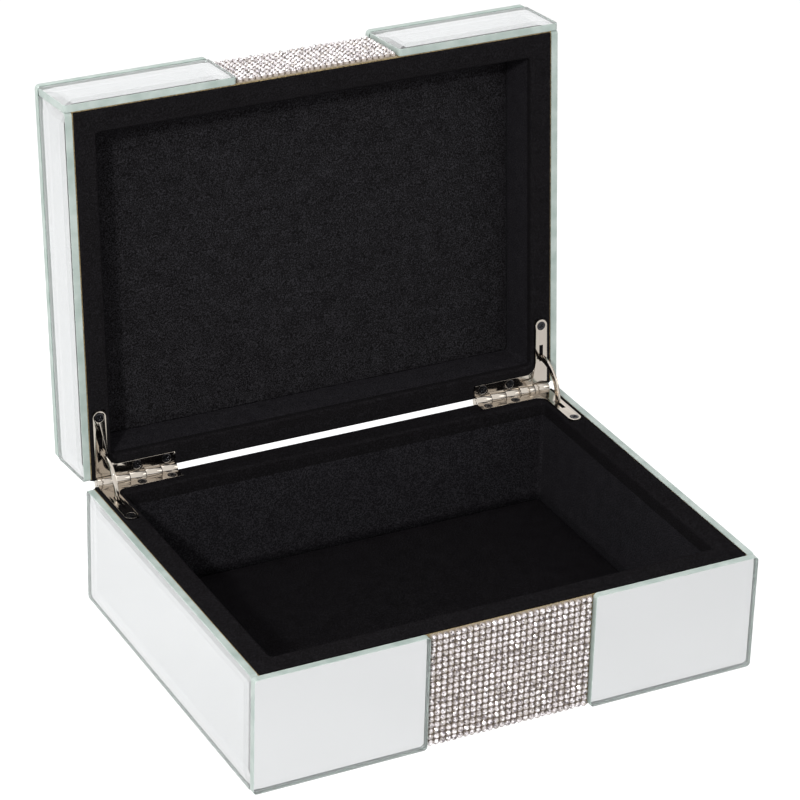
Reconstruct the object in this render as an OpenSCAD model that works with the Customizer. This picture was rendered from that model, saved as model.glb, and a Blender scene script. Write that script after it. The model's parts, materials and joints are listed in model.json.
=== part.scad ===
// Mirrored trinket box with a rhinestone band and two corner stay hinges.
// +Z is up, +X is right and the front faces -Y. The origin is the centre of
// the footprint, on the surface that the box stands on. The lid is drawn
// standing open, held by its stays.

/* [Overall] */
// Width over the side glass
box_w = 200; // [160:1:300]
// Depth from the front glass to the back cover
box_d = 146; // [115:1:240]
// Height of the glass on the body
body_glass_h = 46; // [36:0.5:90]
// Height of the lid, from its glass rim to its top glass
lid_h = 28; // [23:0.5:60]
// Gap between the two glass rims when the lid is shut
rim_gap = 1; // [0.8:0.1:2]
// Angle at which the stays stop the lid
lid_open_angle = 95; // [70:1:100]

/* [Glass] */
// Thickness of a mirror panel
glass_t = 3; // [2:0.1:5]
// Width of the ground bevel round each panel
bevel_w = 5.5; // [2:0.1:8]
// Depth of the ground bevel at the panel's edge
bevel_depth = 0.4; // [0.4:0.1:1.6]
// Radius of a panel's corners
glass_corner_r = 1.6; // [0.6:0.1:3]
// Height of the body glass above the surface
glass_lift = 0.4; // [0.2:0.1:0.5]

/* [Boards] */
// Thickness of the two front boards
front_board_t = 8.5; // [6:0.5:14]
// Thickness of the four side boards
side_board_t = 8; // [7:0.5:14]
// Thickness of the two back boards
back_board_t = 7.5; // [6.5:0.5:14]
// Thickness of the bottom board
bottom_board_t = 2.5; // [2:0.5:6]
// Thickness of the lid's top board
top_board_t = 5; // [3:0.5:8]
// How far the boards stop short of the glass rim
board_drop = 0.4; // [0.2:0.1:0.6]

/* [Fabric] */
// Thickness of the velvet on the rims
rim_velvet_t = 0.6; // [0.3:0.05:0.7]
// Thickness of the velvet on the inner walls
wall_velvet_t = 0.75; // [0.4:0.05:1.5]
// Bare board left between the rim velvet and the glass
velvet_margin = 0.4; // [0.2:0.1:1.2]
// Thickness of the velvet pad on the floor
floor_pad_t = 0.6; // [0.4:0.1:3]
// Thickness of the velvet pad inside the lid
lid_pad_t = 1.2; // [0.6:0.1:3]
// Thickness of the flocked covers on the back
back_cover_t = 0.6; // [0.4:0.1:1.2]
// Thickness of the felt under the body
felt_t = 0.6; // [0.6:0.1:2]
// How far the felt stays inside the bottom board's edge
felt_inset = 1; // [0.5:0.5:5]

/* [Rhinestone band] */
// Width of the opening between the left and right panels
band_w = 65.6; // [40:0.1:100]
// Distance from one stone to the next
stone_pitch = 2.38; // [1.8:0.01:4]
// Thickness of the cup mesh with its stones
band_t = 1.9; // [1:0.1:2]

/* [Hinges] */
// Thickness of a hinge leaf
leaf_t = 0.9; // [0.7:0.05:1.2]
// Gap between the two leaves when the lid is shut
leaf_gap = 0.3; // [0.2:0.05:0.5]
// Width of a leaf's two arms
arm_w = 5.2; // [4.8:0.1:6]
// Length of the arm along the barrel
barrel_arm_l = 32; // [26:0.5:40]
// Length of the side arm, from the pin's axis
side_arm_l = 28.6; // [26:0.2:40]
// Distance from the side glass to the side arm
arm_margin = 1.75; // [0.8:0.05:2.5]
// Radius of the web in the corner between the arms
web_r = 4; // [1:0.5:6]
// Outer diameter of the barrel
barrel_d = 4.6; // [3.6:0.1:6]
// Distance from the back of the box to the pin's axis
pin_offset = 1.2; // [0.8:0.1:2.4]
// Clearance between the barrel and the boards and fabric that it is let into
barrel_clear = 0.3; // [0.2:0.05:0.6]
// Diameter of the pin
pin_d = 2; // [1.4:0.1:2.4]
// Running clearance between the pin and the lid's knuckles, on the radius
pin_clear = 0.05; // [0.02:0.01:0.1]
// Number of knuckles on one barrel
knuckle_count = 5; // [3:2:7]
// Gap between two knuckles
knuckle_gap = 0.2; // [0.1:0.05:0.4]

/* [Stays] */
// Radius of a stay's arc about the pin
stay_r = 13; // [12:0.5:17]
// Height of a stay's flat strip, along the radius
stay_h = 2.4; // [1.6:0.1:3]
// Thickness of a stay's strip
stay_t = 1; // [0.8:0.05:1.2]
// Diameter of the cross pin at each end of a stay
stop_d = 1.4; // [1:0.1:1.8]
// Length of that cross pin
stop_l = 3.6; // [2.6:0.1:3.8]
// Clearance between a cross pin and the leaf that stops it
stop_clear = 0.1; // [0.05:0.05:0.3]
// Width of the slot in each leaf
slot_w = 1.6; // [1.5:0.05:2]
// How far the slot runs past the stay
slot_reach = 5; // [1:0.5:6]
// Clearance round the stay in its pockets
pocket_clear = 0.5; // [0.4:0.05:0.8]

/* [Screws] */
// Shank diameter
screw_d = 1.8; // [1.4:0.1:2.2]
// Head diameter
screw_head_d = 3.6; // [2.8:0.1:3.8]
// Length under the leaf's face
screw_l = 7; // [4:0.5:10]
// Distance from the barrel arm's free end to its first screw
first_screw = 3.5; // [2.5:0.1:6]
// Distance between the barrel arm's two screws
screw_spacing = 12; // [8:0.5:16]
// Length of one stroke of the cross recess
recess_l = 2; // [1.4:0.1:2.4]
// Width of one stroke of the cross recess
recess_w = 0.45; // [0.3:0.05:0.7]
// Depth of the cross recess
recess_depth = 0.5; // [0.3:0.05:0.8]

/* [Hidden] */
$fn = 48;

// Colours
glass_colour = "#d9e2df";
velvet_colour = "#1b1a1f";
board_colour = "#a08767";
nickel_colour = "#c9c2b6";
stone_colour = "#cfc8c4";
screw_colour = "#55504a";

// Both halves are drawn upwards from the plane between the shut rims, which
// also holds the pin's axis. Heights named _u are distances from that plane.
// The base turns its half upside down and the lid swings its half open.
pin_y = box_d / 2 + pin_offset;
pin_z = glass_lift + body_glass_h + rim_gap / 2;
glass_u = rim_gap / 2;
board_u = glass_u + board_drop;
velvet_u = board_u - rim_velvet_t;
leaf_u = leaf_gap / 2;
base_board_end_u = pin_z - felt_t - bottom_board_t;
lid_glass_end_u = glass_u + lid_h - glass_t;
lid_board_end_u = lid_glass_end_u - top_board_t;

// Plan of the boards
half_w = box_w / 2;
half_d = box_d / 2;
board_x = half_w - glass_t;
inner_x = board_x - side_board_t;
board_front_y = -half_d + glass_t;
inner_front_y = board_front_y + front_board_t;
board_back_y = half_d - back_cover_t;
inner_back_y = board_back_y - back_board_t;
panel_w = half_w - band_w / 2;

// Band of stones
band_cols = floor(band_w / stone_pitch);
base_rows = floor(body_glass_h / stone_pitch);
lid_front_rows = floor((lid_h - glass_t) / stone_pitch);
lid_top_rows = floor((box_d - glass_t) / stone_pitch);
band_stones_w = band_cols * stone_pitch;

// Plan of the right-hand hinge
arm_x1 = board_x - arm_margin;
arm_x0 = arm_x1 - arm_w;
arm_mid_x = (arm_x0 + arm_x1) / 2;
barrel_x0 = arm_x1 - barrel_arm_l;
barrel_arm_y0 = half_d - arm_w;
side_arm_y0 = pin_y - side_arm_l;
knuckle_l = barrel_arm_l / knuckle_count;
mate_clear_r = barrel_d / 2 + barrel_clear / 2;
barrel_screw_y = (barrel_arm_y0 + pin_y - mate_clear_r) / 2;
screw_places = [
    [barrel_x0 + first_screw, barrel_screw_y],
    [barrel_x0 + first_screw + screw_spacing, barrel_screw_y],
    [arm_mid_x, side_arm_y0 + arm_w / 2]
];

// Angles along a stay, about the pin
leaf_angle = asin((leaf_u + leaf_t) / stay_r);
stop_angle = leaf_angle + asin((stop_d / 2 + stop_clear) / stay_r);
stay_end_angle = stop_angle + asin(stop_d / 2 / stay_r);
pocket_angle = lid_open_angle / 2 + stay_end_angle;
pocket_near_y = pin_y - (stay_r - stay_h / 2) * cos(pocket_angle) + pocket_clear + stop_d / 2;
pocket_far_y = pin_y - stay_r - stay_h / 2 - pocket_clear;
pocket_u = (stay_r + stay_h / 2) * sin(pocket_angle) + pocket_clear;
pocket_w = stop_l + 2 * pocket_clear;
over = 1; // how far a cut runs past the face it starts from

// Places a half in the base or on the open lid
module on_base() {
    translate([0, 0, pin_z]) mirror([0, 0, 1]) children();
}
module on_lid() {
    translate([0, pin_y, pin_z]) rotate([-lid_open_angle, 0, 0]) translate([0, -pin_y, 0]) children();
}
// A right-hand shape, turned over for the left
module on_left() {
    mirror([1, 0, 0]) children();
}

// A box between two corners
module block(from, to) {
    translate(from) cube(to - from);
}

// Glass: a plate with rounded corners and a bevel ground off its front face
module bevel_cut(length) {
    rotate([0, -atan(bevel_depth / bevel_w), 0])
        translate([-bevel_w, -length, 0]) cube([3 * bevel_w, 3 * length, 3 * bevel_depth]);
}
module rounded_plate(w, h, t) {
    r = glass_corner_r;
    linear_extrude(t) {
        translate([r, 0]) square([w - 2 * r, h]);
        translate([0, r]) square([w, h - 2 * r]);
        for (x = [r, w - r], y = [r, h - r]) translate([x, y]) circle(r);
    }
}
module bevelled_glass(w, h) {
    color(glass_colour) difference() {
        rounded_plate(w, h, glass_t);
        translate([0, 0, glass_t - bevel_depth]) bevel_cut(h);
        translate([w, h, glass_t - bevel_depth]) rotate([0, 0, 180]) bevel_cut(h);
        translate([w, 0, glass_t - bevel_depth]) rotate([0, 0, 90]) bevel_cut(w);
        translate([0, h, glass_t - bevel_depth]) rotate([0, 0, -90]) bevel_cut(w);
    }
}
module front_glass_left(height) {
    translate([-half_w, board_front_y, glass_u]) rotate([90, 0, 0]) bevelled_glass(panel_w, height);
}
module side_glass_left(height) {
    translate([-board_x, half_d, glass_u]) rotate([90, 0, -90]) bevelled_glass(box_d - glass_t, height);
}
module top_glass_left() {
    translate([-half_w, -half_d, lid_glass_end_u]) bevelled_glass(panel_w, box_d);
}

// Boards
module front_board(end_u) {
    color(board_colour) block([-board_x, board_front_y, board_u], [board_x, inner_front_y, end_u]);
}
module back_board(end_u) {
    color(board_colour) difference() {
        block([-inner_x, inner_back_y, board_u], [inner_x, board_back_y, end_u]);
        hinge_cuts();
        on_left() hinge_cuts();
    }
}
module right_board(end_u) {
    color(board_colour) difference() {
        block([inner_x, inner_front_y, board_u], [board_x, board_back_y, end_u]);
        hinge_cuts();
    }
}
module back_cover(end_u) {
    color(velvet_colour) difference() {
        block([-board_x, board_back_y, board_u], [board_x, half_d, end_u]);
        hinge_recess();
        on_left() hinge_recess();
    }
}

// Velvet over the rim and down the inner walls
module velvet_lining(end_u) {
    lining_x = inner_x - wall_velvet_t;
    lining_y0 = inner_front_y + wall_velvet_t;
    lining_y1 = inner_back_y - wall_velvet_t;
    rim_x = board_x - velvet_margin;
    color(velvet_colour) difference() {
        union() {
            block([-rim_x, board_front_y + velvet_margin, velvet_u], [rim_x, half_d, board_u]);
            block([-inner_x, inner_front_y, board_u], [inner_x, inner_back_y, end_u]);
        }
        block([-lining_x, lining_y0, velvet_u - over], [lining_x, lining_y1, end_u + over]);
        hinge_recess();
        on_left() hinge_recess();
    }
}
module velvet_pad(end_u, thickness) {
    lining_x = inner_x - wall_velvet_t;
    color(velvet_colour) block(
        [-lining_x, inner_front_y + wall_velvet_t, end_u - thickness],
        [lining_x, inner_back_y - wall_velvet_t, end_u]);
}

// A sheet of stones on the front, centred between the two ends of its opening
module crystal_front(rows, opening_h) {
    start_u = glass_u + (opening_h - rows * stone_pitch) / 2;
    color(stone_colour) block(
        [-band_stones_w / 2, board_front_y - band_t, start_u],
        [band_stones_w / 2, board_front_y, start_u + rows * stone_pitch]);
}

// Right-hand hinge: a leaf with two arms, a web in its corner and a barrel
module leaf_outline() {
    translate([barrel_x0, barrel_arm_y0]) square([barrel_arm_l, pin_y - barrel_arm_y0]);
    translate([arm_x0, side_arm_y0 + arm_w / 2]) square([arm_w, side_arm_l - arm_w / 2]);
    translate([arm_mid_x, side_arm_y0 + arm_w / 2]) circle(arm_w / 2);
    difference() {
        translate([arm_x0 - web_r, barrel_arm_y0 - web_r]) square(web_r);
        translate([arm_x0 - web_r, barrel_arm_y0 - web_r]) circle(web_r);
    }
}
module barrel_tube(from_x, to_x, diameter) {
    translate([from_x, pin_y, 0]) rotate([0, 90, 0]) cylinder(h = to_x - from_x, d = diameter);
}
module hinge_recess() {
    translate([0, 0, leaf_u - over]) linear_extrude(leaf_t + over) leaf_outline();
    barrel_tube(barrel_x0 - barrel_clear, arm_x1 + barrel_clear, barrel_d + 2 * barrel_clear);
}
module stay_slot() {
    slot_y0 = pin_y - stay_r - slot_reach;
    slot_y1 = pin_y - stay_r + stay_h / 2 + pocket_clear;
    block([arm_mid_x - slot_w / 2, slot_y0, leaf_u - over], [arm_mid_x + slot_w / 2, slot_y1, leaf_u + leaf_t + over]);
}
module stay_pocket() {
    block([arm_mid_x - pocket_w / 2, pocket_far_y, 0], [arm_mid_x + pocket_w / 2, pocket_near_y, pocket_u]);
}
module screw_body(place) {
    translate([place.x, place.y, leaf_u]) {
        cylinder(h = leaf_t, d1 = screw_head_d, d2 = screw_d);
        translate([0, 0, leaf_t]) cylinder(h = screw_l - leaf_t, d = screw_d);
    }
}
module hinge_cuts() {
    hinge_recess();
    stay_pocket();
    for (place = screw_places) screw_body(place);
}
module knuckle(index) {
    barrel_tube(
        barrel_x0 + index * knuckle_l + knuckle_gap / 2,
        barrel_x0 + (index + 1) * knuckle_l - knuckle_gap / 2, barrel_d);
}
module leaf(first_knuckle, bore_d) {
    color(nickel_colour) difference() {
        union() {
            translate([0, 0, leaf_u]) linear_extrude(leaf_t) leaf_outline();
            for (index = [first_knuckle : 2 : knuckle_count - 1]) knuckle(index);
        }
        barrel_tube(barrel_x0 - over, arm_x1 + over, bore_d);
        for (index = [1 - first_knuckle : 2 : knuckle_count - 1])
            block(
                [barrel_x0 + index * knuckle_l - knuckle_gap / 2, pin_y - mate_clear_r, -barrel_d],
                [barrel_x0 + (index + 1) * knuckle_l + knuckle_gap / 2, pin_y + barrel_d, barrel_d]);
        stay_slot();
        for (place = screw_places) screw_body(place);
    }
}
module screw(place) {
    difference() {
        screw_body(place);
        for (turn = [45, 135])
            translate([place.x, place.y, leaf_u + recess_depth / 2 - over / 2]) rotate([0, 0, turn])
                cube([recess_l, recess_w, recess_depth + over], center = true);
    }
}
module leaf_screws() {
    color(screw_colour) for (place = screw_places) screw(place);
}
module pin() {
    color(nickel_colour) translate([0, 0, pin_z]) barrel_tube(barrel_x0, arm_x1, pin_d);
}
// A stay: a strip bent round the pin, with a cross pin at each end
module stay() {
    color(nickel_colour) translate([arm_mid_x, pin_y, pin_z]) rotate([90, 0, -90]) {
        rotate([0, 0, -stay_end_angle]) rotate_extrude(angle = lid_open_angle + 2 * stay_end_angle)
            translate([stay_r - stay_h / 2, -stay_t / 2]) square([stay_h, stay_t]);
        for (angle = [-stop_angle, lid_open_angle + stop_angle])
            rotate([0, 0, angle]) translate([stay_r, 0, -stop_l / 2]) cylinder(h = stop_l, d = stop_d);
    }
}

// Base
module base_front_board() { on_base() front_board(base_board_end_u); }
module base_back_board() { on_base() back_board(base_board_end_u); }
module base_right_board() { on_base() right_board(base_board_end_u); }
module base_left_board() { on_base() on_left() right_board(base_board_end_u); }
module base_bottom_board() {
    color(board_colour) block([-board_x, board_front_y, felt_t], [board_x, board_back_y, felt_t + bottom_board_t]);
}
module base_felt() {
    color(velvet_colour) block(
        [-board_x + felt_inset, board_front_y + felt_inset, 0],
        [board_x - felt_inset, board_back_y - felt_inset, felt_t]);
}
module base_back_cover() { on_base() back_cover(pin_z - felt_t); }
module base_velvet_lining() { on_base() velvet_lining(base_board_end_u); }
module base_floor_pad() { on_base() velvet_pad(base_board_end_u, floor_pad_t); }
module base_mirror_front_left() { on_base() front_glass_left(body_glass_h); }
module base_mirror_front_right() { on_base() on_left() front_glass_left(body_glass_h); }
module base_mirror_left() { on_base() side_glass_left(body_glass_h); }
module base_mirror_right() { on_base() on_left() side_glass_left(body_glass_h); }
module base_crystal_band() { on_base() crystal_front(base_rows, body_glass_h); }

// Lid
module lid_front_board() { on_lid() front_board(lid_board_end_u); }
module lid_back_board() { on_lid() back_board(lid_board_end_u); }
module lid_right_board() { on_lid() right_board(lid_board_end_u); }
module lid_left_board() { on_lid() on_left() right_board(lid_board_end_u); }
module lid_top_board() {
    color(board_colour) on_lid() block(
        [-board_x, board_front_y, lid_board_end_u], [board_x, board_back_y, lid_glass_end_u]);
}
module lid_back_cover() { on_lid() back_cover(lid_glass_end_u); }
module lid_velvet_lining() { on_lid() velvet_lining(lid_board_end_u); }
module lid_ceiling_pad() { on_lid() velvet_pad(lid_board_end_u, lid_pad_t); }
module lid_mirror_front_left() { on_lid() front_glass_left(lid_h - glass_t); }
module lid_mirror_front_right() { on_lid() on_left() front_glass_left(lid_h - glass_t); }
module lid_mirror_left() { on_lid() side_glass_left(lid_h - glass_t); }
module lid_mirror_right() { on_lid() on_left() side_glass_left(lid_h - glass_t); }
module lid_mirror_top_left() { on_lid() top_glass_left(); }
module lid_mirror_top_right() { on_lid() on_left() top_glass_left(); }
module lid_crystal_band_front() { on_lid() crystal_front(lid_front_rows, lid_h - glass_t); }
module lid_crystal_band_top() {
    rows_l = lid_top_rows * stone_pitch;
    color(stone_colour) on_lid() block(
        [-band_stones_w / 2, half_d - rows_l, lid_glass_end_u],
        [band_stones_w / 2, half_d, lid_glass_end_u + band_t]);
}

// Hinges. The base leaves hold the pins and the lid leaves turn on them.
module base_leaf_right() { on_base() leaf(0, pin_d); }
module base_leaf_left() { on_base() on_left() leaf(0, pin_d); }
module lid_leaf_right() { on_lid() leaf(1, pin_d + 2 * pin_clear); }
module lid_leaf_left() { on_lid() on_left() leaf(1, pin_d + 2 * pin_clear); }
module hinge_pin_right() { pin(); }
module hinge_pin_left() { on_left() pin(); }
module stay_right() { stay(); }
module stay_left() { on_left() stay(); }
module base_leaf_screws_right() { on_base() leaf_screws(); }
module base_leaf_screws_left() { on_base() on_left() leaf_screws(); }
module lid_leaf_screws_right() { on_lid() leaf_screws(); }
module lid_leaf_screws_left() { on_lid() on_left() leaf_screws(); }

base_front_board();
base_back_board();
base_left_board();
base_right_board();
base_bottom_board();
base_felt();
base_back_cover();
base_velvet_lining();
base_floor_pad();
base_mirror_front_left();
base_mirror_front_right();
base_mirror_left();
base_mirror_right();
base_crystal_band();
lid_front_board();
lid_back_board();
lid_left_board();
lid_right_board();
lid_top_board();
lid_back_cover();
lid_velvet_lining();
lid_ceiling_pad();
lid_mirror_front_left();
lid_mirror_front_right();
lid_mirror_left();
lid_mirror_right();
lid_mirror_top_left();
lid_mirror_top_right();
lid_crystal_band_front();
lid_crystal_band_top();
base_leaf_left();
base_leaf_right();
lid_leaf_left();
lid_leaf_right();
hinge_pin_left();
hinge_pin_right();
stay_left();
stay_right();
base_leaf_screws_left();
base_leaf_screws_right();
lid_leaf_screws_left();
lid_leaf_screws_right();
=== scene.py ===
# %% [markdown]
# # A mirrored trinket box
# The box is built the way a maker builds it: fibreboard frames, bevelled mirror glass glued round
# them, a sheet of rhinestones down the middle, black velvet inside and two corner stay hinges.
# The working model is loaded first and never moved. Every piece below is drawn round it, in metres.

# %% Load the working model
import json
import math

import bmesh
import bpy
import numpy as np
from mathutils import Matrix, Vector


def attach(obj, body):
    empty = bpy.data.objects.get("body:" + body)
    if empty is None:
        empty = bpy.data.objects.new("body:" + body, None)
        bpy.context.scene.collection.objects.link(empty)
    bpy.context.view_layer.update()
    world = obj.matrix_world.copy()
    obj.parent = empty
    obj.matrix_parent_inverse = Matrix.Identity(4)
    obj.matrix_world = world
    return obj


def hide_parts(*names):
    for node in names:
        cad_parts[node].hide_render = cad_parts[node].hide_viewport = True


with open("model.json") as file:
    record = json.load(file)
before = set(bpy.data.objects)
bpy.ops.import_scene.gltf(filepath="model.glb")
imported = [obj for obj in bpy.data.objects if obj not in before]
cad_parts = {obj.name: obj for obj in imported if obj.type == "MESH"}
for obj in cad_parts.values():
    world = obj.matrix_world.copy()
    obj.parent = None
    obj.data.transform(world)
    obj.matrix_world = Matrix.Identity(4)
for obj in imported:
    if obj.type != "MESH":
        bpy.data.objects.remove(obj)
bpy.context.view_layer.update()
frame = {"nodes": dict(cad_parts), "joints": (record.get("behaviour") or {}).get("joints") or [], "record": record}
MM = 0.001
rng = np.random.default_rng(7)

# %% [markdown]
# ## Shut and open
# The lid stands open in the working model, so its pieces lie at an odd angle. It is easier to draw a
# lid piece with the lid shut, square to the axes, and to swing it open about the hinge pin afterwards.
# The pin's place and the angle come from the model's own joint.

# %% Swing about the hinge pin
lid_joint = next(j for j in frame["joints"] if j["name"] == "lid_hinge")
PIN = np.array(lid_joint["pos_m"])
OPEN_ANGLE = math.radians(max(lid_joint["range_deg"]))


def swung(points, angle):
    """The points turned by angle about the line through the pin along X: y and z mix by sine and cosine."""
    y, z = points[:, 1] - PIN[1], points[:, 2] - PIN[2]
    c, s = math.cos(angle), math.sin(angle)
    return np.column_stack([points[:, 0], PIN[1] + y * c - z * s, PIN[2] + y * s + z * c])


def body_of(node):
    """The name of the body that holds a node."""
    return next(b for b, names in frame["record"]["behaviour"]["bodies"].items() if node in names)


def shut_box(node):
    """Lowest and highest corner of a node with the lid shut, from the node's own vertices."""
    mesh = frame["nodes"][node].data
    points = np.empty(len(mesh.vertices) * 3)
    mesh.vertices.foreach_get("co", points)
    points = points.reshape(-1, 3)
    if body_of(node) == "lid":
        points = swung(points, OPEN_ANGLE)
    return points.min(0), points.max(0)


print("lid opens by", round(math.degrees(OPEN_ANGLE)), "degrees about", PIN)

# %% [markdown]
# ## From arrays to a mesh
# Each piece is a grid of points worked out with numpy. One helper joins neighbouring points of a grid
# into four-sided faces, and another turns arrays into an object that rides on its body.

# %% Mesh helpers


def grid_faces(rows, columns, close_rows=False, close_columns=False):
    """Faces of a grid whose point (i, j) has the number i * columns + j, wrapping round where closed."""
    i = np.arange(rows if close_rows else rows - 1)[:, None]
    j = np.arange(columns if close_columns else columns - 1)[None, :]
    i2, j2 = (i + 1) % rows, (j + 1) % columns
    corners = [i * columns + j, i * columns + j2, i2 * columns + j2, i2 * columns + j]
    return np.stack([np.broadcast_to(c, np.broadcast(i, j).shape).ravel() for c in corners], 1)


def make_piece(name, points, faces, materials, node, smooth=False, material_index=None):
    """An object from arrays. It stands for the node, rides on the node's body and takes its finish."""
    body = body_of(node)
    if body == "lid":
        points = swung(points, -OPEN_ANGLE)
    mesh = bpy.data.meshes.new(name)
    mesh.from_pydata(points.tolist(), [], [list(f) for f in faces])
    for material in materials:
        mesh.materials.append(material)
    if material_index is not None:
        mesh.polygons.foreach_set("material_index", np.asarray(material_index, dtype=np.int32))
    tidy = bmesh.new()
    tidy.from_mesh(mesh)
    bmesh.ops.remove_doubles(tidy, verts=tidy.verts, dist=0.001 * MM)
    bmesh.ops.recalc_face_normals(tidy, faces=tidy.faces)
    tidy.to_mesh(mesh)
    tidy.free()
    mesh.polygons.foreach_set("use_smooth", np.full(len(mesh.polygons), smooth))
    piece = bpy.data.objects.new(name, mesh)
    bpy.context.scene.collection.objects.link(piece)
    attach(piece, body)
    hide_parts(node)
    return piece


# %% [markdown]
# ## Colour and nodes
# Colours are written as the hex values that a paint chart would show. A screen's values are not
# linear, so one function turns them into the linear numbers that a shader works with.

# %% Material helpers


def linear(hex_colour):
    """Linear red, green, blue and alpha of an sRGB hex value."""
    srgb = np.array([int(hex_colour[k : k + 2], 16) for k in (1, 3, 5)]) / 255
    low, high = srgb / 12.92, ((srgb + 0.055) / 1.055) ** 2.4
    return (*np.where(srgb <= 0.04045, low, high).tolist(), 1.0)


def add(material, kind, inputs=None, **settings):
    """Adds a node: settings are its own options, inputs are the values or links of its sockets."""
    tree = material.node_tree
    made = tree.nodes.new("ShaderNode" + kind)
    for option, value in settings.items():
        setattr(made, option, value)
    for socket, value in (inputs or {}).items():
        if isinstance(value, bpy.types.NodeSocket):
            tree.links.new(value, made.inputs[socket])
        else:
            made.inputs[socket].default_value = value
    return made


def new_material(name, surface):
    """A material with one Principled shader, whose sockets are given by name."""
    material = bpy.data.materials.new(name)
    material.use_nodes = True
    material.node_tree.nodes.clear()
    shader = add(material, "BsdfPrincipled", surface)
    add(material, "OutputMaterial", {"Surface": shader.outputs["BSDF"]})
    return material, shader


def link(material, output, shader, socket):
    """Joins a node's output to a socket."""
    material.node_tree.links.new(output, shader.inputs[socket])


def colour_ramp(material, value, stops):
    """The colours of the stops, pairs of a position and a hex value, mixed evenly in between."""
    made = add(material, "ValToRGB", {"Fac": value})
    ramp = made.color_ramp
    ramp.elements[0].position, ramp.elements[1].position = stops[0][0], stops[-1][0]
    ramp.elements[0].color, ramp.elements[1].color = linear(stops[0][1]), linear(stops[-1][1])
    for position, colour in stops[1:-1]:
        ramp.elements.new(position).color = linear(colour)
    return made.outputs[0]


# %% [markdown]
# ## The camera
# The box is looked at from its left front corner, from a little above, through a long lens, as
# catalogues show a box: upright edges stay almost parallel. The turn about the line of sight is small.

# %% Camera
VIEW_AZIMUTH = math.radians(-28.0)
VIEW_ELEVATION = math.radians(27.52)
VIEW_ROLL = math.radians(1.69)
VIEW_DISTANCE = 1.2578
VIEW_TARGET = np.array([-0.00911, 0.0, 0.09874])
LENS_MM = 159.25

back = np.array([
    math.sin(VIEW_AZIMUTH) * math.cos(VIEW_ELEVATION),
    -math.cos(VIEW_AZIMUTH) * math.cos(VIEW_ELEVATION),
    math.sin(VIEW_ELEVATION),
])
right = np.cross(-back, [0, 0, 1])
right /= np.linalg.norm(right)
up = np.cross(back, right)
rolled_right = math.cos(VIEW_ROLL) * right + math.sin(VIEW_ROLL) * up
rolled_up = math.cos(VIEW_ROLL) * up - math.sin(VIEW_ROLL) * right
camera = bpy.data.objects.new("camera", bpy.data.cameras.new("camera"))
camera.data.lens = LENS_MM
camera.data.clip_end = 20
placement = np.eye(4)
placement[:3, :3] = np.column_stack([rolled_right, rolled_up, back])
placement[:3, 3] = VIEW_TARGET + VIEW_DISTANCE * back
camera.matrix_world = Matrix(placement.tolist())
bpy.context.scene.collection.objects.link(camera)
bpy.context.scene.camera = camera
print("camera at", placement[:3, 3].round(3))

# %% [markdown]
# ## The studio
# A white table lit from below, a white world and soft lamps. The table is a sheet of opal acrylic with
# its lamps under it, stronger behind on the left, so that the box has hardly any shadow. Mirror glass
# shows its surroundings: the side panels see the brighter part of the table and come out lighter.
# A dark cloth hangs far to the right, so walls that face that way stay black and metal gets contrast.
# The small key lamp at the front left draws the lid's rim as a soft shadow inside the lid and makes
# single stones glint. How strong each glow is was settled one by one.

# %% Table, world and lamps
FLOOR_HALF = 3.0
GLOW_CENTRE = (-0.2, 0.2, 0.0)
NEAR_GLOW, REST_GLOW, BACK_GLOW, UNEVEN_GLOW = 1.17, 0.93, 0.12, 0.05
WORLD_GLOW, CLOTH_GLOW = 1.3, 0.35
LAMPS_FACE = (0.0, 0.0, 0.08)
opal_acrylic, opal_shader = new_material(
    "underlit_opal_acrylic",
    {"Base Color": linear("#303030"), "Roughness": 0.9, "Emission Color": (1, 1, 1, 1)},
)
table_place = add(opal_acrylic, "TexCoord").outputs["Object"]
from_glow = add(opal_acrylic, "VectorMath", {0: table_place, 1: GLOW_CENTRE}, operation="DISTANCE")
glow = add(
    opal_acrylic, "MapRange",
    {"Value": from_glow.outputs["Value"], "From Min": 0.6, "From Max": 0.15,
     "To Min": REST_GLOW, "To Max": NEAR_GLOW},
    interpolation_type="SMOOTHSTEP",
)
patches = add(opal_acrylic, "TexNoise", {"Vector": table_place, "Scale": 14.0, "Detail": 1.0})
uneven = add(opal_acrylic, "MapRange", {"Value": patches.outputs[0], "To Min": -UNEVEN_GLOW,
                                        "To Max": UNEVEN_GLOW})
behind = add(opal_acrylic, "SeparateXYZ", {0: table_place})
far_glow = add(opal_acrylic, "MapRange", {"Value": behind.outputs["Y"], "From Min": 0.5, "From Max": 0.9,
                                          "To Min": 0.0, "To Max": BACK_GLOW})
glow_sum = add(opal_acrylic, "Math", {0: glow.outputs[0], 1: uneven.outputs[0]}, operation="ADD")
all_glow = add(opal_acrylic, "Math", {0: glow_sum.outputs[0], 1: far_glow.outputs[0]}, operation="ADD")
link(opal_acrylic, all_glow.outputs[0], opal_shader, "Emission Strength")
floor_steps = np.linspace(-FLOOR_HALF, FLOOR_HALF, 13)
floor_x, floor_y = np.meshgrid(floor_steps, floor_steps, indexing="ij")
floor_points = np.column_stack([floor_x.ravel(), floor_y.ravel(), np.zeros(floor_x.size)])
floor_mesh = bpy.data.meshes.new("floor")
floor_mesh.from_pydata(floor_points.tolist(), [], grid_faces(13, 13)[:, ::-1].tolist())
floor_mesh.materials.append(opal_acrylic)
floor = bpy.data.objects.new("floor", floor_mesh)
bpy.context.scene.collection.objects.link(floor)

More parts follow.
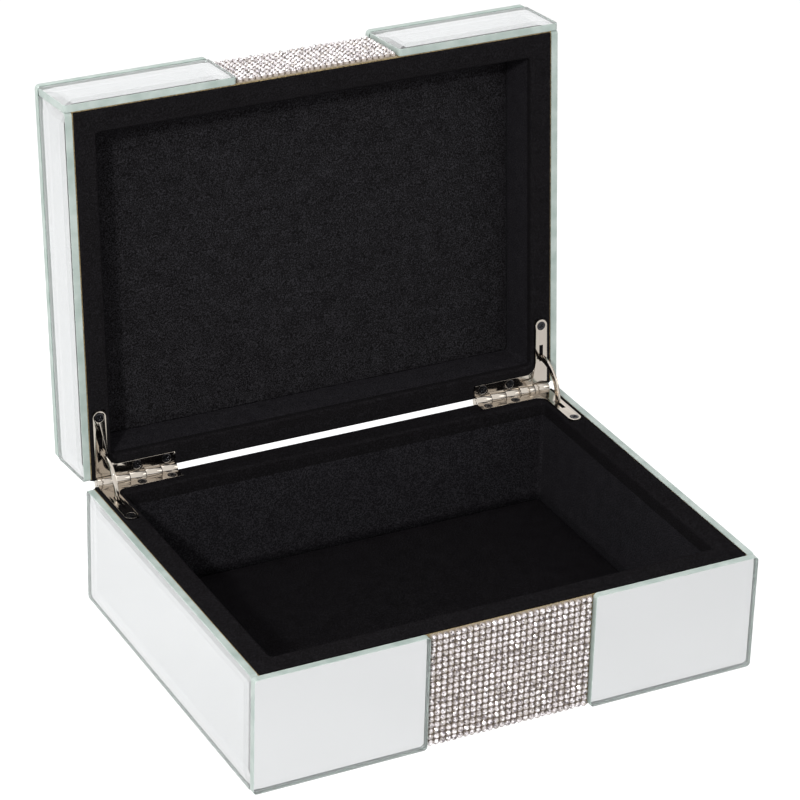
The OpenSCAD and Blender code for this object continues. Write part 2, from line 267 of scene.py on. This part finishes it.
world = bpy.data.worlds.new("studio")
world.use_nodes = True
surround = world.node_tree.nodes["Background"]
surround.inputs["Color"].default_value = (1.0, 1.0, 1.0, 1.0)
direction = add(world, "TexCoord").outputs["Generated"]
sideways = add(world, "SeparateXYZ", {0: direction}).outputs["X"]
to_the_right = add(world, "MapRange", {
    "Value": sideways, "From Min": 0.45, "From Max": 0.8, "To Min": WORLD_GLOW, "To Max": CLOTH_GLOW,
})
link(world, to_the_right.outputs[0], surround, "Strength")
bpy.context.scene.world = world
bpy.context.scene.view_settings.view_transform = "Standard"


def soft_lamp(name, place, size, power):
    """A square lamp of the given size in metres that faces the box."""
    lamp = bpy.data.objects.new(name, bpy.data.lights.new(name, "AREA"))
    lamp.data.size = size
    lamp.data.energy = power
    lamp.location = place
    towards = Vector(LAMPS_FACE) - Vector(place)
    lamp.rotation_mode = "QUATERNION"
    lamp.rotation_quaternion = towards.to_track_quat("-Z", "Y")
    bpy.context.scene.collection.objects.link(lamp)
    return lamp


soft_lamp("back_left_lamp", (-0.95, 0.75, 1.1), 0.8, 6.0)
soft_lamp("front_right_lamp", (1.4, -1.0, 1.1), 0.7, 3.0)
soft_lamp("key_lamp", (-0.95, -1.0, 0.95), 0.1, 20.0)
soft_lamp("top_lamp", (-0.2, 0.1, 1.9), 0.8, 3.0)

# %% [markdown]
# ## Mirror glass
# Each panel is float glass 3 mm thick with a wide bevel ground off its front and silver on its back.
# A flat plate with a mirror finish would miss what makes it look like glass: the pale green edges and
# the bevel, in which the ground edge shows again as a dark line. So a panel is a closed slab of real
# glass, and its back face is the silver. Three finishes share one mesh: polished face, ground edge
# and silvered back.

# %% Glass finishes
# Float glass: polished and clear, with a little iron in it, which greens long ways through it
GLASS_TINT = linear("#00e0bc")
GLASS_DENSITY = 7.0
polished_glass, _ = new_material(
    "polished_float_glass",
    {"Base Color": (1, 1, 1, 1), "Roughness": 0.0, "IOR": 1.52, "Transmission Weight": 1.0},
)
glass_output = next(n for n in polished_glass.node_tree.nodes if n.type == "OUTPUT_MATERIAL")
green = add(polished_glass, "VolumeAbsorption", {"Color": GLASS_TINT, "Density": GLASS_DENSITY})
link(polished_glass, green.outputs[0], glass_output, "Volume")

# Ground edge: sanded and washed, so it scatters light and looks pale green-grey and satin
ground_edge, edge_shader = new_material(
    "ground_glass_edge",
    {"Roughness": 0.38, "IOR": 1.52, "Transmission Weight": 0.25},
)
edge_place = add(ground_edge, "TexCoord")
edge_mottle = add(
    ground_edge, "TexNoise", {"Vector": edge_place.outputs["Object"], "Scale": 160.0, "Detail": 3.0}
)
edge_colour = colour_ramp(ground_edge, edge_mottle.outputs[0], [(0.3, "#93a19b"), (0.7, "#aeb8b3")])
link(ground_edge, edge_colour, edge_shader, "Base Color")
edge_grit = add(
    ground_edge, "TexNoise", {"Vector": edge_place.outputs["Object"], "Scale": 4000.0, "Detail": 2.0}
)
edge_bump = add(
    ground_edge, "Bump", {"Strength": 0.2, "Distance": 0.00005, "Height": edge_grit.outputs[0]}
)
link(ground_edge, edge_bump.outputs[0], edge_shader, "Normal")
edge_output = next(n for n in ground_edge.node_tree.nodes if n.type == "OUTPUT_MATERIAL")
edge_green = add(ground_edge, "VolumeAbsorption", {"Color": GLASS_TINT, "Density": GLASS_DENSITY})
link(ground_edge, edge_green.outputs[0], edge_output, "Volume")

# Silvering: a film of silver laid on the back of the glass, a perfect mirror with a cool cast
silvering, _ = new_material(
    "silvered_glass_back",
    {"Base Color": linear("#d8d6d8"), "Metallic": 1.0, "Roughness": 0.0},
)

# %% [markdown]
# A panel's outline is a rectangle with rounded corners. Loops of that outline, set in step by step,
# are carried from the back up the edge and over the bevel. The height of a loop's points follows the
# bevel plane of the nearest side, so the four bevels meet on a true mitre.

# %% Panel shape
CORNER_STEPS = 8
BEVEL_WIDTH = 5.5 * MM
BEVEL_DEPTH = 0.2 * MM
CORNER_RADIUS = 1.6 * MM
EDGE_ARRIS = 0.18 * MM
GLUE_GAP = 0.06 * MM


def rounded_loop(width, height, inset, radius):
    """Points round a rectangle set in by inset, each corner a quarter circle of radius less inset."""
    r = max(radius - inset, 0.0)
    turn = np.linspace(0, math.pi / 2, CORNER_STEPS + 1)
    corners = []
    for k, (cx, cy) in enumerate([(1, 1), (0, 1), (0, 0), (1, 0)]):
        centre_x = width - inset - r if cx else inset + r
        centre_y = height - inset - r if cy else inset + r
        angle = turn + k * math.pi / 2
        corners.append(np.column_stack([centre_x + r * np.cos(angle), centre_y + r * np.sin(angle)]))
    return np.concatenate(corners)


def bevel_height(plan, width, height, thickness):
    """Height of the front: full in the middle, falling evenly to the edge within the bevel's width."""
    x, y = plan[:, 0], plan[:, 1]
    to_side = np.minimum.reduce([x, width - x, y, height - y])
    return thickness - BEVEL_DEPTH * (1 - np.clip(to_side / BEVEL_WIDTH, 0, 1))


def panel_shape(width, height, thickness):
    """Points, faces and finish numbers of a bevelled panel lying on its back at the origin."""
    loops = []
    for inset, level in [(EDGE_ARRIS, "back"), (0, "arris"), (0, "edge"), (EDGE_ARRIS, "bevel"),
                         (BEVEL_WIDTH, "face")]:
        plan = rounded_loop(width, height, inset, CORNER_RADIUS)
        z = bevel_height(plan, width, height, thickness)
        z = {"back": 0 * z + GLUE_GAP, "arris": 0 * z + EDGE_ARRIS, "edge": z - EDGE_ARRIS}.get(level, z)
        loops.append(np.column_stack([plan, z]))
    count = len(loops[0])
    points = np.concatenate(loops)
    sides = grid_faces(len(loops), count, close_columns=True).tolist()
    finishes = np.repeat([1, 1, 1, 0], count).tolist()
    faces = sides + [list(range(count))[::-1], list(range(4 * count, 5 * count))]
    return points, faces, finishes + [2, 0]


# %% [markdown]
# Each panel faces outwards: the front ones to the front, the side ones to the sides, and the lid's
# top ones upwards. The panel's own axes are laid along the box's axes to suit.

# %% Place the panels
FACINGS = {
    "front": ((1, 0, 0), (0, 0, 1), (0, -1, 0)),
    "left": ((0, -1, 0), (0, 0, 1), (-1, 0, 0)),
    "right": ((0, 1, 0), (0, 0, 1), (1, 0, 0)),
    "top": ((1, 0, 0), (0, 1, 0), (0, 0, 1)),
}


def facing_of(node):
    """Which way a panel faces, from its name: the first facing word after mirror."""
    return next(word for word in node.split("_")[2:] if word in FACINGS)


for node in sorted(n for n in frame["nodes"] if "mirror" in n):
    low, high = shut_box(node)
    axes = np.array(FACINGS[facing_of(node)], dtype=float)
    start = np.where(axes.sum(0) > 0, low, high)
    width, height, thickness = np.abs(axes @ (high - low))
    local, faces, finishes = panel_shape(width, height, thickness)
    make_piece(
        node.replace("mirror", "glass"), start + local @ axes, faces,
        [polished_glass, ground_edge, silvering], node, material_index=finishes,
    )
    print(node, "faces", facing_of(node), (np.array([width, height]) / MM).round(1), "mm")

# %% [markdown]
# ## Velvet
# The lining is flocked velvet: millions of short fibres standing on cloth, nearly black. It drinks
# light from the front and shows a soft grey bloom where it turns away. Sheen gives that bloom and a
# fine speckle of lighter fibre ends keeps it from looking like paint.

# %% Velvet and felt


def pile(name, dark, fleck, fleck_mm, sheen):
    """A fabric with standing fibres: dark body colour, lighter flecks of a real size, and sheen."""
    material, shader = new_material(
        name, {"Roughness": 0.95, "Specular IOR Level": 0.0, "Sheen Weight": sheen,
               "Sheen Roughness": 0.45, "Sheen Tint": linear("#8d8a93")}
    )
    place = add(material, "TexCoord").outputs["Object"]
    fibres = add(material, "TexNoise", {"Vector": place, "Scale": 1 / (fleck_mm * MM), "Detail": 3.0,
                                        "Roughness": 0.7})
    clouds = add(material, "TexNoise", {"Vector": place, "Scale": 180.0, "Detail": 3.0})
    cloudy = add(material, "MapRange", {"Value": clouds.outputs[0], "To Min": 0.9, "To Max": 1.1})
    mixed = add(material, "Math", {0: fibres.outputs[0], 1: cloudy.outputs[0]}, operation="MULTIPLY")
    colour = colour_ramp(material, mixed.outputs[0], [(0.45, dark), (0.75, fleck)])
    link(material, colour, shader, "Base Color")
    bump = add(material, "Bump", {"Strength": 0.5, "Distance": 0.00015, "Height": fibres.outputs[0]})
    link(material, bump.outputs[0], shader, "Normal")
    return material


# Fibre tufts are about 0.15 mm apart; the flecks are drawn at 0.45 mm so that they still show.
# It is one cloth, drawn here as five near blacks, one for each part, each set darker or lighter for
# how the light falls on that part. The darker copies on the base rim and the base floor are painted
# shade; the lighter flecks on the walls and on the lid's padded card are painted light. Which part is how dark was
# matched.
rim_velvet = pile("black_velvet_lid_rim", "#0d0c0d", "#212022", 0.45, 0.0)
shaded_base_rim_velvet = pile("black_velvet_base_rim_painted_shade", "#0d0c0d", "#1f1e20", 0.45, 0.0)
lit_wall_velvet = pile("black_velvet_walls_painted_light", "#111012", "#313033", 0.45, 0.02)
lit_card_velvet = pile("black_velvet_cards_painted_light", "#0d0c0d", "#343336", 0.45, 0.02)
shaded_floor_velvet = pile("black_velvet_floor_painted_shade", "#080708", "#201f21", 0.45, 0.01)
# Felt is pressed, so its fibres lie flat: the same black with less bloom and a coarser fleck
black_felt = pile("black_pressed_felt", "#0e0e10", "#232226", 0.9, 0.02)

# %% [markdown]
# The lining covers the rim, turns over its inner edge and runs down the inner walls. It is one closed
# profile carried round the box: out along the rim, over a soft edge, down the wall and back behind.
# Each profile point says how far it lies between the rim's outer and inner rectangles, how much it
# is pushed out of them and how deep it lies.

# %% Lining
VELVET_STEP = 0.55 * MM
RIM_EDGE_RADIUS = 1.0 * MM
OUTER_EDGE_RADIUS = 0.3 * MM
WALL_VELVET = 0.75 * MM
RIM_VELVET = 0.6 * MM


def rectangle_loop(low, high, radius, steps_x, steps_y):
    """Points round a rectangle with even steps along its straight sides and rounded corners."""
    centre = [(high[0] - radius, high[1] - radius), (low[0] + radius, high[1] - radius),
              (low[0] + radius, low[1] + radius), (high[0] - radius, low[1] + radius)]
    turn = np.linspace(0, math.pi / 2, CORNER_STEPS + 1)
    parts = []
    for k in range(4):
        angle = turn + k * math.pi / 2
        arc = np.array(centre[k]) + radius * np.column_stack([np.cos(angle), np.sin(angle)])
        following = np.array(centre[(k + 1) % 4])
        angle_end = (k + 1) * math.pi / 2
        end = following + radius * np.array([math.cos(angle_end), math.sin(angle_end)])
        share = np.linspace(0, 1, (steps_x if k % 2 == 0 else steps_y) + 1)[1:-1, None]
        parts += [arc, arc[-1] * (1 - share) + end * share]
    return np.concatenate(parts)


def lining_profile(rim_width, depth):
    """Share from outer to inner rectangle, outward push, and depth, for each point of the profile."""
    quarter = np.linspace(0, math.pi / 2, 6)
    edge = OUTER_EDGE_RADIUS
    soft = RIM_EDGE_RADIUS
    rows = [(0, 0, RIM_VELVET)]
    rows += [(0, -edge * (1 - math.cos(a)), edge * (1 - math.sin(a))) for a in quarter]
    flat = np.linspace(0, 1, max(int(rim_width / VELVET_STEP), 2) + 1)[1:-1]
    inner_start = 1 - soft / rim_width
    rows += [(s * inner_start, -edge * (1 - s), 0) for s in flat]
    rows += [(1, soft * (1 - math.sin(a)), soft * (1 - math.cos(a))) for a in quarter]
    rows += [(1, 0, d) for d in np.linspace(soft, depth, 10)[1:]]
    rows += [(1, WALL_VELVET, depth), (1, WALL_VELVET, depth / 2), (1, WALL_VELVET, RIM_VELVET)]
    return rows


print("lining profile has", len(lining_profile(12 * MM, 40 * MM)), "points")

ARM_WIDTH = 5.2 * MM
BARREL_ARM_Y = shut_box("base_back_cover")[1][1] - ARM_WIDTH
LEAF_DROP = 0.85 * MM


def leaf_clearance(x, y, leaf_box):
    """True where a point of the rim lies under one of the hinge leaves: in its barrel arm or side arm."""
    (x0, y0, _), (x1, y1, _) = leaf_box
    inner = x0 if abs(x0) < abs(x1) else x1
    outer = x1 if inner == x0 else x0
    along = (x - inner) / (outer - inner)
    arm = ARM_WIDTH / abs(outer - inner)
    barrel_arm = (along > 0) & (along < 1) & (y > BARREL_ARM_Y)
    side_arm = (along > 1 - arm) & (along < 1) & (y > y0)
    return barrel_arm | side_arm


def lining(half):
    """The velvet of one half: profile points joined to rectangles between the rim's edge and the well."""
    node = f"{half}_velvet_lining"
    pad = f"{half}_floor_pad" if half == "base" else f"{half}_ceiling_pad"
    low, high = shut_box(node)
    inner_low, inner_high = shut_box(pad)
    depth = high[2] - low[2]
    top, down = (high[2], -1) if half == "base" else (low[2], 1)
    steps_x = int((high[0] - low[0]) / VELVET_STEP)
    steps_y = int((high[1] - low[1]) / VELVET_STEP)
    loops = []
    profile = lining_profile(inner_low[0] - low[0], depth)
    for share, push, deep in profile:
        loop_low = low[:2] * (1 - share) + inner_low[:2] * share - push
        loop_high = high[:2] * (1 - share) + inner_high[:2] * share + push
        radius = 0.4 * MM + share * 1.2 * MM
        plan = rectangle_loop(loop_low, loop_high, radius, steps_x, steps_y)
        z = np.full(len(plan), top + down * deep)
        loops.append(np.column_stack([plan, z]))
    points = np.concatenate(loops)
    under = np.zeros(len(points), dtype=bool)
    for side in ("left", "right"):
        under |= leaf_clearance(points[:, 0], points[:, 1], shut_box(f"{half}_leaf_{side}"))
    near_top = np.abs(points[:, 2] - top) < LEAF_DROP
    points[under & near_top, 2] = top + down * LEAF_DROP
    faces = grid_faces(len(loops), len(loops[0]), close_rows=True, close_columns=True)
    # The base rim takes a darker copy of the velvet, painted shade; the walls take a lighter copy, painted light.
    edge_velvet = shaded_base_rim_velvet if half == "base" else rim_velvet
    on_wall = [int(share == 1 and deep >= RIM_EDGE_RADIUS) for share, _, deep in profile]
    return make_piece(node.replace("_velvet", ""), points, faces, [edge_velvet, lit_wall_velvet], node,
                      smooth=True, material_index=np.repeat(on_wall, len(loops[0])))


for half in ("base", "lid"):
    piece = lining(half)
    print(piece.name, len(piece.data.polygons), "faces")

# %% [markdown]
# The floor of the well and the ceiling of the lid are thin cards wrapped in velvet. A card bulges a
# little in the middle and turns down at its edges, which leaves a fine dark line along the walls.

# %% Wrapped cards and flat covers
CARD_EDGE = 0.5 * MM


def wrapped_card(name, node, materials, bulge, steps, outward=1):
    """A closed slab whose face bulges by sine times sine and rounds over by a quarter circle at its rim."""
    low, high = shut_box(node)
    size = high - low
    n = [max(int(size[a] / steps), 4) for a in (0, 1)]
    ends = [np.concatenate([[0, CARD_EDGE / 3, CARD_EDGE],
                            np.linspace(0, size[a], k + 1)[1:-1],
                            [size[a] - CARD_EDGE, size[a] - CARD_EDGE / 3, size[a]]])
            for a, k in enumerate(n)]
    u, v = np.meshgrid(*ends, indexing="ij")
    to_side = np.minimum.reduce([u, size[0] - u, v, size[1] - v])
    rounding = np.clip(1 - to_side / CARD_EDGE, 0, 1)
    swell = np.sin(np.pi * u / size[0]) * np.sin(np.pi * v / size[1])
    thick = size[2]
    edge = min(CARD_EDGE, thick * 0.7)
    height = thick - bulge * (1 - swell) - edge * (1 - np.sqrt(1 - rounding**2))
    rows, columns = u.shape
    front = np.zeros((u.size, 3))
    front[:, 0], front[:, 1] = u.ravel(), v.ravel()
    rear = front.copy()
    front[:, 2] = height.ravel()
    if outward < 0:
        front[:, 2] = thick - front[:, 2]
        rear[:, 2] = thick
    rim = np.concatenate([
        np.arange(columns), np.arange(1, rows) * columns + columns - 1,
        (rows - 1) * columns + np.arange(columns - 2, -1, -1), np.arange(rows - 2, 0, -1) * columns,
    ])
    following = np.roll(rim, -1)
    walls = np.column_stack([rim, rim + u.size, following + u.size, following])
    sheet = grid_faces(rows, columns)
    back_face = [(rim + u.size).tolist()]
    faces = sheet.tolist() + walls.tolist() + back_face
    used = np.concatenate([np.arange(u.size), rim + u.size])
    number = np.full(2 * u.size, -1)
    number[used] = np.arange(len(used))
    points = np.concatenate([front, rear])[used] + low
    faces = [[int(number[i]) for i in f] for f in faces]
    return make_piece(name, points, faces, materials, node, smooth=True)


# The base floor card takes the darkest copy of the velvet, painted shade; the lid's card takes a lighter copy,
# painted light.
floor_card = wrapped_card("base_floor_card", "base_floor_pad", [shaded_floor_velvet], 0.1 * MM, 4 * MM)
ceiling_card = wrapped_card("lid_ceiling_card", "lid_ceiling_pad", [lit_card_velvet],
                            0.3 * MM, 4 * MM, outward=-1)
wrapped_card("base_felt_foot", "base_felt", [black_felt], 0.0, 6 * MM, outward=-1)
print("cards and covers:", floor_card.dimensions / MM)

# %% [markdown]
# ## Fibreboard
# The frames are medium-density fibreboard: wood ground to fibres and pressed with glue. Sawn edges
# are fuzzy and tan with darker specks. Only a thin line of them shows between velvet and glass.

# %% Fibreboard
fibreboard, board_shader = new_material("sawn_fibreboard", {"Roughness": 0.85})
board_place = add(fibreboard, "TexCoord").outputs["Object"]
board_fibres = add(fibreboard, "TexNoise", {"Vector": board_place, "Scale": 1500.0, "Detail": 4.0})
board_colour = colour_ramp(fibreboard, board_fibres.outputs[0], [(0.3, "#453a28"), (0.7, "#9a875f")])
link(fibreboard, board_colour, board_shader, "Base Color")
board_bump = add(fibreboard, "Bump", {"Strength": 0.4, "Distance": 0.0002,
                                      "Height": board_fibres.outputs[0]})
link(fibreboard, board_bump.outputs[0], board_shader, "Normal")
boards = sorted(n for n in frame["nodes"] if n.endswith("_board"))
for node in boards:
    frame["nodes"][node].data.materials.clear()
    frame["nodes"][node].data.materials.append(fibreboard)
print(len(boards), "boards")

# %% [markdown]
# ## Rhinestone mesh
# Rhinestone mesh comes on a roll: faceted glass stones, foiled behind, each held in a little metal
# cup. From a hand's breadth away a stone is a few bright and dark patches, because each facet shows
# another part of the room. A stone here has a table, a ring of sixteen facets and its cup, and each
# facet gets its own tone, from dark to white: a painted reflection that stands in for the part of the
# room it shows, under the stone's own gloss. The tones and small tilts come from one seeded draw.

# %% Stone finishes
# The facets' base colour is a painted reflection: a random tone per facet, dark to white, read from an attribute;
# the metallic gloss on top is real.
facets_with_painted_reflections, facet_shader = new_material(
    "foiled_crystal", {"Metallic": 0.55, "Roughness": 0.06}
)
tone = add(facets_with_painted_reflections, "Attribute", attribute_name="painted_reflection_tone")
painted_reflection_colour = colour_ramp(
    facets_with_painted_reflections, tone.outputs["Fac"],
    [(0.0, "#3c3837"), (0.25, "#7d767a"), (0.5, "#aca59e"), (0.75, "#cdc7ca"), (1.0, "#efebec")],
)
link(facets_with_painted_reflections, painted_reflection_colour, facet_shader, "Base Color")

cup_metal, _ = new_material(
    "plated_stone_cups", {"Base Color": linear("#aaa098"), "Metallic": 0.6, "Roughness": 0.35}
)
mesh_cloth, _ = new_material(
    "stone_mesh_backing", {"Base Color": linear("#877c6a"), "Roughness": 0.8}
)

# %% Stone sheets
STONE_PITCH = 2.38 * MM
STONE_SIDES = 8
TABLE_RADIUS = 0.50 * MM
GIRDLE_RADIUS = 1.12 * MM
CUP_RADIUS = 1.185 * MM
BACKING = 0.3 * MM


def ring(radius, height, offset=0.0):
    """Eight points round a circle at a height, turned by a share of one step."""
    angle = (np.arange(STONE_SIDES) + offset) * 2 * math.pi / STONE_SIDES
    return np.column_stack([radius * np.cos(angle), radius * np.sin(angle), np.full(STONE_SIDES, height)])


def one_stone(thickness):
    """Points, triangles and quads of a stone in its cup: table, girdle, cup rim and cup foot rings."""
    girdle = 0.62 * thickness
    points = np.concatenate([
        ring(TABLE_RADIUS, thickness), ring(GIRDLE_RADIUS, girdle, 0.5),
        ring(CUP_RADIUS, girdle + 0.12 * MM, 0.5), ring(CUP_RADIUS * 0.96, BACKING, 0.5),
    ])
    k = np.arange(STONE_SIDES)
    k2 = (k + 1) % STONE_SIDES
    n = STONE_SIDES
    faces = [k.tolist()]
    faces += np.column_stack([k2, k, k + n]).tolist()
    faces += np.column_stack([k2, k + n, k2 + n]).tolist()
    faces += np.column_stack([k + 2 * n, k2 + 2 * n, k2 + n, k + n]).tolist()
    faces += np.column_stack([k + 3 * n, k2 + 3 * n, k2 + 2 * n, k + 2 * n]).tolist()
    finishes = [0] * (1 + 2 * n) + [1] * (2 * n)
    return points, faces, finishes


def stone_sheet(node):
    """A sheet of stones: the one stone copied to each place of the grid, tilted by chance, each facet given a
    painted reflection tone by chance.
    """
    low, high = shut_box(node)
    axes = np.array(FACINGS["top" if node.endswith("_top") else "front"], dtype=float)
    start = np.where(axes.sum(0) > 0, low, high)
    width, height, thickness = np.abs(axes @ (high - low))
    stone, stone_faces, stone_finishes = one_stone(thickness)
    columns, rows = round(width / STONE_PITCH), round(height / STONE_PITCH)
    i, j = np.meshgrid(np.arange(columns), np.arange(rows), indexing="ij")
    count = i.size
    centre = np.column_stack([(i.ravel() + 0.5) * STONE_PITCH, (j.ravel() + 0.5) * STONE_PITCH])
    centre = centre + rng.normal(0, 0.03 * MM, centre.shape)
    spin = rng.uniform(0, 2 * math.pi, count)
    tilt = rng.normal(0, 0.06, (count, 2))
    c, s = np.cos(spin)[:, None], np.sin(spin)[:, None]
    x = stone[:, 0] * c - stone[:, 1] * s
    y = stone[:, 0] * s + stone[:, 1] * c
    z = stone[:, 2] + x * tilt[:, :1] + y * tilt[:, 1:]
    z = np.clip(z, 0, thickness)
    points = np.stack([x + centre[:, :1], y + centre[:, 1:], z], 2).reshape(-1, 3)
    faces = [[v + k * len(stone) for v in f] for k in range(count) for f in stone_faces]
    finishes = stone_finishes * count
    slab = np.array([[a, b, c] for c in (0, BACKING) for b in (0, height) for a in (0, width)])
    first = len(points)
    slab_faces = np.array([
        [0, 2, 3, 1], [4, 5, 7, 6], [0, 1, 5, 4], [2, 6, 7, 3], [0, 4, 6, 2], [1, 3, 7, 5],
    ])
    faces += (slab_faces + first).tolist()
    finishes += [2] * 6
    points = np.concatenate([points, slab])
    piece = make_piece(node.replace("crystal_band", "stones"), start + points @ axes, faces,
                       [facets_with_painted_reflections, cup_metal, mesh_cloth], node,
                       material_index=finishes)
    # Painted reflection: a random tone, dark to white, for each facet.
    tones = piece.data.attributes.new("painted_reflection_tone", "FLOAT", "FACE")
    draw = np.clip(rng.beta(1.6, 1.0, len(piece.data.polygons)), 0, 1)
    tones.data.foreach_set("value", draw.astype(np.float32))
    return piece, count


for node in sorted(n for n in frame["nodes"] if "crystal" in n):
    piece, count = stone_sheet(node)
    print(piece.name, count, "stones,", len(piece.data.polygons), "faces")

# %% [markdown]
# ## Hinges, stays and screws
# The corner hinges are stamped steel, nickel plated: bright, slightly warm, with rolled edges that
# catch a thin highlight. Their shape is right in the working model, so a merged copy of it gets a
# small bevel on its sharp edges and a better finish.

# %% Nickel and screws


def plated(name, colour, roughness, scratch_mm):
    """A plated metal: its colour, its gloss, and fine scratches of a real spacing in the gloss."""
    material, shader = new_material(name, {"Base Color": linear(colour), "Metallic": 1.0})
    place = add(material, "TexCoord").outputs["Object"]
    stretched = add(material, "Mapping", {"Vector": place, "Scale": (0.15, 1.0, 1.0)})
    scratches = add(material, "TexNoise", {"Vector": stretched.outputs[0],
                                           "Scale": 1 / (scratch_mm * MM), "Detail": 3.0})
    gloss = add(material, "MapRange", {"Value": scratches.outputs[0], "To Min": roughness * 0.7,
                                       "To Max": roughness * 1.4})
    link(material, gloss.outputs[0], shader, "Roughness")
    bump = add(material, "Bump", {"Strength": 0.15, "Distance": 0.00003,
                                  "Height": scratches.outputs[0]})
    link(material, bump.outputs[0], shader, "Normal")
    return material


# Nickel plate: yellower than chrome; a nearly mirror-bright film over stamped steel
nickel = plated("nickel_plated_steel", "#b9b1a7", 0.10, 0.6)
# Screws: a dark plated metal, so their heads look dark with a bright rim
dark_screw = plated("dark_plated_screw", "#37373a", 0.25, 0.4)

# %% Softened copies
SOFT_EDGE = 0.12 * MM


def softened(node, material, edge):
    """A merged copy of a node's mesh whose flat faces are whole again and whose sharp edges are rounded."""
    mesh = frame["nodes"][node].data.copy()
    mesh.name = node + "_plated"
    work = bmesh.new()
    work.from_mesh(mesh)
    bmesh.ops.remove_doubles(work, verts=work.verts, dist=0.001 * MM)
    bmesh.ops.dissolve_limit(work, angle_limit=math.radians(1), verts=work.verts, edges=work.edges)
    work.to_mesh(mesh)
    work.free()
    mesh.materials.clear()
    mesh.materials.append(material)
    mesh.polygons.foreach_set("use_smooth", np.ones(len(mesh.polygons), dtype=bool))
    piece = bpy.data.objects.new(node + "_plated", mesh)
    bpy.context.scene.collection.objects.link(piece)
    bevel = piece.modifiers.new("soft_edges", "BEVEL")
    bevel.width = edge
    bevel.segments = 2
    bevel.limit_method = "ANGLE"
    bevel.angle_limit = math.radians(35)
    bevel.harden_normals = True
    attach(piece, body_of(node))
    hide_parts(node)
    return piece


for node in sorted(frame["nodes"]):
    if node.endswith("back_cover"):
        # The back covers take the same lighter copy of the velvet as the walls, painted light.
        softened(node, lit_wall_velvet, 2 * SOFT_EDGE)
    elif "leaf_screws" in node:
        softened(node, dark_screw, SOFT_EDGE * 0.6)
    elif "leaf" in node or "hinge_pin" in node or node.startswith("stay"):
        softened(node, nickel, SOFT_EDGE)
